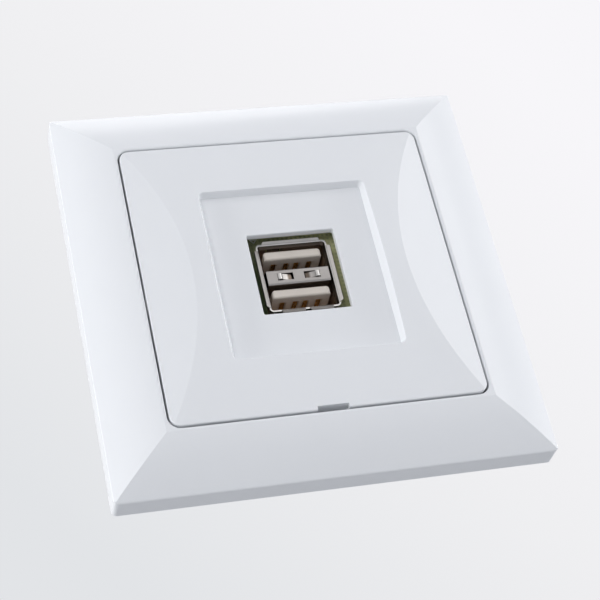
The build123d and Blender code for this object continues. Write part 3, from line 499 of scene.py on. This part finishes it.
def edit(piece):
    """Only this piece selected, in edit mode, with all of its mesh selected."""
    clear_selection()
    piece.select_set(True)
    bpy.context.view_layer.objects.active = piece
    bpy.ops.object.mode_set(mode="EDIT")
    bpy.ops.mesh.select_all(action="SELECT")


def join(pieces):
    """Pieces made one, each with its own mesh before."""
    clear_selection()
    for piece in pieces:
        piece.select_set(True)
    bpy.context.view_layer.objects.active = pieces[0]
    bpy.ops.object.join()
    return bpy.context.object


def screw_thread(radius, height, pitch, first, turns, x, z):
    """Closed ridge wound round a shank that lies along Y, from a first depth."""
    detail = settings().detail
    root = detail.thread_root
    ridge = height + root
    clear_selection()
    lying = Matrix(((0, 1, 0), (0, 0, 1), (1, 0, 0))).to_euler()
    bpy.ops.mesh.primitive_circle_add(
        vertices=3, radius=1.0, location=(radius - root + ridge / 3, 0, 0), rotation=lying
    )
    thread = bpy.context.object
    thread.scale = (0.5 * pitch, ridge / 1.5, 1.0)
    bpy.ops.object.transform_apply(location=True, rotation=True, scale=True)
    winding = thread.modifiers.new("Winding", "SCREW")
    winding.axis = "Z"
    winding.angle = 2 * math.pi
    winding.screw_offset = pitch
    winding.iterations = turns
    winding.steps = detail.thread_steps
    winding.render_steps = detail.thread_steps
    bpy.ops.object.modifier_apply(modifier=winding.name)
    edit(thread)
    bpy.ops.mesh.remove_doubles(threshold=0.001 * MM)
    bpy.ops.mesh.fill_holes(sides=3)
    bpy.ops.mesh.select_all(action="SELECT")
    bpy.ops.mesh.normals_make_consistent(inside=False)
    clear_selection()
    thread.rotation_euler = (-math.pi / 2, 0, 0)
    thread.location = (x, first, z)
    return thread


def printed_triangle(x, y, z):
    """Outline of a triangle with its point down, printed on the board's front."""
    detail = settings().detail
    clear_selection()
    bpy.ops.mesh.primitive_circle_add(
        vertices=3,
        radius=1.0,
        fill_type="NGON",
        location=(x, y, z),
        rotation=(math.pi / 2, math.pi, 0),
    )
    mark = bpy.context.object
    mark.scale = (detail.mark_width / math.sqrt(3), detail.mark_height / 1.5, 1.0)
    bpy.ops.object.transform_apply(location=True, rotation=True, scale=True)
    edit(mark)
    bpy.ops.mesh.inset(thickness=detail.mark_line, use_boundary=True)
    bpy.ops.mesh.delete(type="FACE")
    bpy.ops.mesh.select_all(action="SELECT")
    bpy.ops.mesh.extrude_region_move(
        TRANSFORM_OT_translate={"value": (0, -detail.print_height, 0)}
    )
    bpy.ops.mesh.select_all(action="SELECT")
    bpy.ops.mesh.normals_make_consistent(inside=False)
    clear_selection()
    return mark


def solder_fillets(places, towards):
    """Hollow-sided cones of solder at places on a board, standing along Y towards one side."""
    detail = settings().detail
    clear_selection()
    bpy.ops.mesh.primitive_circle_add(
        vertices=14, radius=detail.solder_radius, fill_type="NGON", rotation=(math.pi / 2, 0, 0)
    )
    first = bpy.context.object
    bpy.ops.object.transform_apply(location=True, rotation=True, scale=True)
    edit(first)
    for rise, narrowing in ((0.18, 0.78), (0.3, 0.78), (0.52, 0.88)):
        bpy.ops.mesh.extrude_region_move(
            TRANSFORM_OT_translate={"value": (0, towards * rise * detail.solder_height, 0)}
        )
        bpy.ops.transform.resize(value=(narrowing, 1.0, narrowing), center_override=(0, 0, 0))
    bpy.ops.mesh.select_all(action="SELECT")
    bpy.ops.mesh.normals_make_consistent(inside=False)
    clear_selection()
    cones = [first]
    for foot in places[1:]:
        cone = first.copy()
        cone.data = first.data.copy()
        cone.location = foot
        bpy.context.collection.objects.link(cone)
        cones.append(cone)
    first.location = places[0]
    return join(cones)


class SOCKET_OT_camera(Operator):
    """Sets up the camera at the view from below and to the left"""

    bl_idname = "socket.camera"
    bl_label = "Camera"

    def execute(self, context):
        camera = settings().camera
        clear_selection()
        turn = (
            Matrix.Rotation(camera.azimuth, 4, "Z")
            @ Matrix.Rotation(math.pi / 2 - camera.elevation, 4, "X")
            @ Matrix.Rotation(camera.roll, 4, "Z")
        )
        backwards = (turn @ Vector((0.0, 0.0, 1.0, 0.0))).to_3d()
        bpy.ops.object.camera_add()
        stand = context.object
        stand.name = "camera"
        stand.data.lens = camera.lens
        stand.data.sensor_width = FILM_WIDTH
        stand.data.clip_start = NEAR_LIMIT
        spot = Vector(camera.aim) + camera.distance * backwards
        stand.matrix_world = Matrix.Translation(spot) @ turn
        context.scene.camera = stand
        return {"FINISHED"}


class SOCKET_OT_stage(Operator):
    """Lays a pale floor and sets the backdrop and the even light from all round"""

    bl_idname = "socket.stage"
    bl_label = "Stage"

    def execute(self, context):
        stage = settings().stage
        clear_selection()
        bpy.ops.mesh.primitive_plane_add(size=stage.floor_side, location=(0, 0, -stage.floor_drop))
        floor = context.object
        floor.name = "floor"
        material, tree, shader = shader_of("floor_paint")
        grain = noise(tree, 60 * MM, 3.0)
        pale = blend_colours(tree, grain, shaded(stage.floor, 0.99), tuple(stage.floor))
        tones = blend_colours(tree, seen_rays(tree), shaded(stage.floor, stage.floor_bounce), pale)
        tree.links.new(tones, shader.inputs["Base Color"])
        shader.inputs["Roughness"].default_value = 0.8
        shader.inputs["Emission Color"].default_value = (*stage.floor, 1.0)
        glow = spread(tree, seen_rays(tree), 0.0, 1.0, 0.0, stage.floor_glow)
        tree.links.new(glow, shader.inputs["Emission Strength"])
        floor.data.materials.append(material)
        self.backdrop(context, stage)
        return {"FINISHED"}

    def backdrop(self, context, stage):
        """World colours: what the camera, gloss and glass see, and the light that falls."""
        world = context.scene.world or bpy.data.worlds.new("World")
        context.scene.world = world
        world.use_nodes = True
        tree = world.node_tree
        tree.nodes.clear()
        direction = tree.nodes.new("ShaderNodeTexCoord").outputs["Generated"]
        slope = tree.nodes.new("ShaderNodeVectorMath")
        slope.operation = "DOT_PRODUCT"
        slope.inputs[1].default_value = Vector(BACKDROP_SLOPE).normalized()
        tree.links.new(direction, slope.inputs[0])
        dim_end, bright_end = BACKDROP_ENDS
        rise = spread(tree, slope.outputs["Value"], dim_end, bright_end, 0.0, 1.0)
        tones = ramp(tree, rise, ((0.0, stage.dim), (0.5, stage.middle), (1.0, stage.bright)))
        light = tree.nodes.new("ShaderNodeBackground")
        height = tree.nodes.new("ShaderNodeSeparateXYZ")
        tree.links.new(direction, height.inputs[0])
        level = spread(tree, height.outputs["Z"], -1.0, 1.0, 1.0 - stage.fall, 1.0 + stage.fall)
        light.inputs["Color"].default_value = (*stage.around, 1.0)
        tree.links.new(level, light.inputs["Strength"])
        view = tree.nodes.new("ShaderNodeBackground")
        tree.links.new(tones, view.inputs["Color"])
        mix = tree.nodes.new("ShaderNodeMixShader")
        tree.links.new(seen_rays(tree), mix.inputs["Fac"])
        tree.links.new(light.outputs[0], mix.inputs[1])
        tree.links.new(view.outputs[0], mix.inputs[2])
        output = tree.nodes.new("ShaderNodeOutputWorld")
        tree.links.new(mix.outputs[0], output.inputs["Surface"])


class SOCKET_OT_lamps(Operator):
    """Hangs six large soft lamps round the socket"""

    bl_idname = "socket.lamps"
    bl_label = "Lamps"

    def execute(self, context):
        lamps = settings().lamps
        places = (
            ("lamp_left", (-1.0, -0.12, 0.05), lamps.left_power),
            ("lamp_right", (1.0, -0.12, 0.05), lamps.right_power),
            ("lamp_top", (0.1, 0.1, 1.0), lamps.top_power),
            ("lamp_near", (0.62, -0.62, 0.49), lamps.near_power),
            ("lamp_fill", (-0.5, -0.82, 0.0), lamps.fill_power),
            ("lamp_back", (0.3, 1.0, 0.7), lamps.back_power),
        )
        for name, towards, watts in places:
            clear_selection()
            direction = Vector(towards).normalized()
            bpy.ops.object.light_add(type="AREA", location=direction * lamps.reach)
            lamp = context.object
            lamp.name = name
            lamp.data.shape = "SQUARE"
            lamp.data.size = lamps.side
            lamp.data.energy = watts
            lamp.rotation_euler = direction.to_track_quat("Z", "Y").to_euler()
            lamp.visible_glossy = abs(direction.x) < SIDE_ON
        return {"FINISHED"}


class SOCKET_OT_covers(Operator):
    """Gives the frame and the centre plate their glossy white"""

    bl_idname = "socket.covers"
    bl_label = "Covers"

    def execute(self, context):
        white = moulded(
            "cover_white",
            settings().finish.cover,
            roughness=0.24,
            grain=0.4 * MM,
            relief=0.001 * MM,
            ripple=0.004 * MM,
        )
        wear("outer_frame", white)
        wear("centre_plate", white)
        return {"FINISHED"}


class SOCKET_OT_housing(Operator):
    """Gives the insert's shells and the terminal block their matt plastics"""

    bl_idname = "socket.housing"
    bl_label = "Housing"

    def execute(self, context):
        finish = settings().finish
        grey = moulded(
            "housing_grey", finish.housing, roughness=0.5, grain=0.22 * MM, relief=0.018 * MM
        )
        dark_grey = moulded(
            "terminal_grey", finish.terminal, roughness=0.45, grain=0.2 * MM, relief=0.015 * MM
        )
        black = moulded(
            "spacer_black", finish.epoxy, roughness=0.5, grain=0.2 * MM, relief=0.012 * MM
        )
        wear("housing_front", grey)
        wear("housing_back", grey)
        wear("terminal_block", dark_grey)
        wear("link_spacer", black)
        return {"FINISHED"}


class SOCKET_OT_metalwork(Operator):
    """Gives the mounting ring, the claws, the pins and the screws their plating"""

    bl_idname = "socket.metalwork"
    bl_label = "Metalwork"

    def execute(self, context):
        finish = settings().finish
        wear("mounting_ring", galvanised_sheet("galvanised", finish.galvanised))
        claw_steel = sheet_metal(
            "claw_steel",
            finish.plated,
            roughness=0.36,
            streak=(1.0, 0.25, 0.25),
            relief=0.012 * MM,
        )
        screw_steel = sheet_metal(
            "screw_steel",
            finish.plated,
            roughness=0.3,
            streak=(1.0, 0.2, 1.0),
            relief=0.006 * MM,
        )
        for side in ("left", "right"):
            wear("claw_" + side, claw_steel)
            wear("claw_pin_" + side, screw_steel)
            wear("claw_screw_" + side, screw_steel)
        wear("housing_screws", screw_steel)
        brass = sheet_metal(
            "terminal_brass",
            finish.brass,
            roughness=0.32,
            streak=(1.0, 1.0, 0.2),
            relief=0.008 * MM,
        )
        for pole in ("live", "neutral"):
            wear("terminal_bar_" + pole, brass)
            wear("terminal_cage_" + pole, brass)
            wear("terminal_screw_" + pole, screw_steel)
        return {"FINISHED"}


class SOCKET_OT_threads(Operator):
    """Winds the threads of the claw screws and the terminal screws"""

    bl_idname = "socket.threads"
    bl_label = "Threads"

    def execute(self, context):
        detail = settings().detail
        steel = sheet_metal(
            "thread_steel",
            settings().finish.plated,
            roughness=0.28,
            streak=(1.0, 0.2, 1.0),
            relief=0.004 * MM,
        )
        pitch = detail.claw_thread_pitch
        for side in ("left", "right"):
            screw = "claw_screw_" + side
            low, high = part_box(screw)
            first = detail.claw_plain
            turns = int((high[1] - detail.claw_plain - first) / pitch)
            middle = (low[0] + high[0]) / 2
            radius = detail.claw_shank / 2
            height = detail.claw_thread_height
            thread = screw_thread(radius, height, pitch, first, turns, middle, 0.0)
            settle(thread, "claw_thread_" + side, steel, screw)
        pitch = detail.terminal_thread_pitch
        for pole in ("live", "neutral"):
            screw = "terminal_screw_" + pole
            low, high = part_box(screw)
            first = low[1] + pitch
            turns = int((high[1] - detail.terminal_head - first) / pitch) - 1
            x, z = (low[0] + high[0]) / 2, (low[2] + high[2]) / 2
            radius = detail.terminal_shank / 2
            height = detail.terminal_thread_height
            thread = screw_thread(radius, height, pitch, first, turns, x, z)
            settle(thread, "terminal_thread_" + pole, steel, screw)
        return {"FINISHED"}


class SOCKET_OT_connector(Operator):
    """Gives the stacked ports their tin plate, warm white and gold"""

    bl_idname = "socket.connector"
    bl_label = "Connector"

    def execute(self, context):
        finish = settings().finish
        # Painted light by depth along the shell: a darker band, a painted highlight at the mouth's
        # bend, painted shade just inside, and painted light that lifts the tone deeper in.
        shell_painted_light_stops = (
            (-6.6, "plain", 0.92),
            (-6.2, "plain", 0.92),
            (-6.06, "plain", 0.66),
            (-6.01, "painted_highlight", 0.85),
            (-5.97, "painted_highlight", 0.75),
            (-5.92, "inside", 0.16),
            (-5.45, "inside", 0.3),
            (-5.3, "inside", 0.8),
            (-3.6, "inside", 2.6),
        )
        # Painted highlight at the divider's front and painted shade on its faces inside the ports.
        divider_painted_light_stops = (
            (-6.5, "painted_highlight", 0.72),
            (-6.18, "plain", 0.85),
            (-6.13, "plain", 0.62),
            (-5.95, "plain", 0.8),
            (-5.85, "inside", 0.5),
            (-3.6, "inside", 1.3),
        )
        wear("connector_shell", port_sheet("shell_tin", finish, shell_painted_light_stops))
        wear("connector_divider", port_sheet("divider_tin", finish, divider_painted_light_stops))
        white = moulded(
            "tongue_white", finish.tongue, roughness=0.42, grain=0.15 * MM, relief=0.006 * MM
        )
        wear("connector_insulator", white)
        gold = sheet_metal(
            "contact_gold",
            finish.gold,
            roughness=0.26,
            streak=(1.0, 0.2, 1.0),
            relief=0.003 * MM,
        )
        for name in ("contacts_upper", "contacts_lower", "link_pins"):
            wear(name, gold)
        return {"FINISHED"}


class SOCKET_OT_boards(Operator):
    """Gives the two boards their mask, prints a mark and adds solder"""

    bl_idname = "socket.boards"
    bl_label = "Boards"

    def execute(self, context):
        finish = settings().finish
        mask = board_mask("board_mask", finish.mask, finish.painted_lit_mask)
        wear("front_board", mask)
        wear("power_board", mask)
        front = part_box("front_board")[0][1]
        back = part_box("power_board")[1][1]
        ink = moulded("board_ink", finish.mark, roughness=0.5, grain=0.1 * MM, relief=0.002 * MM)
        across, upwards = MARK_PLACE
        mark = printed_triangle(across, front, upwards)
        settle(mark, "board_mark", ink, "socket")
        solder = sheet_metal(
            "solder",
            finish.solder,
            roughness=0.25,
            streak=(1.0, 1.0, 1.0),
            relief=0.004 * MM,
        )
        low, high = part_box("link_pins")
        row = [low[0] + PIN_WIDTH / 2 + step * PIN_PITCH for step in range(PIN_COUNT)]
        middle = (low[2] + high[2]) / 2
        fillets = solder_fillets([(x, front, middle) for x in row], -1)
        settle(fillets, "front_board_solder", solder, "socket")
        places = [(x, back, middle) for x in row]
        for name in ("contacts_upper", "contacts_lower"):
            low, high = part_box(name)
            centre = (low[0] + high[0]) / 2
            places += [(centre + offset, back, (low[2] + high[2]) / 2) for offset in TAIL_OFFSETS]
        fillets = solder_fillets(places, 1)
        settle(fillets, "power_board_solder", solder, "socket")
        return {"FINISHED"}


class SOCKET_OT_power_parts(Operator):
    """Gives the power supply's parts their finishes"""

    bl_idname = "socket.power_parts"
    bl_label = "Power parts"

    def execute(self, context):
        finish = settings().finish
        chips = ("bridge_rectifier", "optocoupler", "charge_controller")
        # Each finish with its colour, roughness, grain and relief in millimetres, and nodes.
        finishes = (
            ("ferrite", finish.ferrite, 0.6, 0.3, 0.03, ("transformer_core", "choke")),
            ("tape", finish.tape, 0.3, 0.5, 0.01, ("transformer_winding",)),
            ("sleeve", finish.sleeve, 0.25, 0.5, 0.004, ("bulk_capacitors", "output_capacitors")),
            ("film_box", finish.box, 0.3, 0.4, 0.008, ("filter_capacitor",)),
            ("dip", finish.dip, 0.28, 0.8, 0.03, ("safety_capacitor",)),
            ("lacquer", finish.lacquer, 0.4, 0.6, 0.02, ("fuse_resistor",)),
            ("epoxy", finish.epoxy, 0.55, 0.2, 0.02, chips),
        )
        for name, tone, roughness, grain, relief, nodes in finishes:
            material = moulded(name, tone, roughness, grain * MM, relief * MM)
            for node in nodes:
                wear(node, material)
        return {"FINISHED"}


STEPS = (
    SOCKET_OT_camera,
    SOCKET_OT_stage,
    SOCKET_OT_lamps,
    SOCKET_OT_covers,
    SOCKET_OT_housing,
    SOCKET_OT_metalwork,
    SOCKET_OT_threads,
    SOCKET_OT_connector,
    SOCKET_OT_boards,
    SOCKET_OT_power_parts,
)


class SOCKET_PT_looks(Panel):
    """Lists the steps that build the socket's looks"""

    bl_idname = "SOCKET_PT_looks"
    bl_label = "Wall Socket"
    bl_space_type = "VIEW_3D"
    bl_region_type = "UI"
    bl_category = "Wall Socket"

    def draw(self, context):
        for step in STEPS:
            self.layout.operator(step.bl_idname)


GROUPS = (
    CameraSettings,
    StageSettings,
    LampSettings,
    FinishSettings,
    DetailSettings,
    LooksSettings,
)


def register():
    """Registers the settings, the steps and the panel."""
    for group in GROUPS:
        bpy.utils.register_class(group)
    bpy.types.Scene.socket_looks = PointerProperty(type=LooksSettings)
    for step in STEPS:
        bpy.utils.register_class(step)
    bpy.utils.register_class(SOCKET_PT_looks)


def unregister():
    """Takes the panel, the steps and the settings away again."""
    bpy.utils.unregister_class(SOCKET_PT_looks)
    for step in reversed(STEPS):
        bpy.utils.unregister_class(step)
    del bpy.types.Scene.socket_looks
    for group in reversed(GROUPS):
        bpy.utils.unregister_class(group)


def main():
    """Builds the looks step by step."""
    register()
    bpy.context.scene.view_settings.view_transform = "Standard"
    for step in STEPS:
        group, name = step.bl_idname.split(".")
        getattr(getattr(bpy.ops, group), name)()


if __name__ == "__main__":
    main()
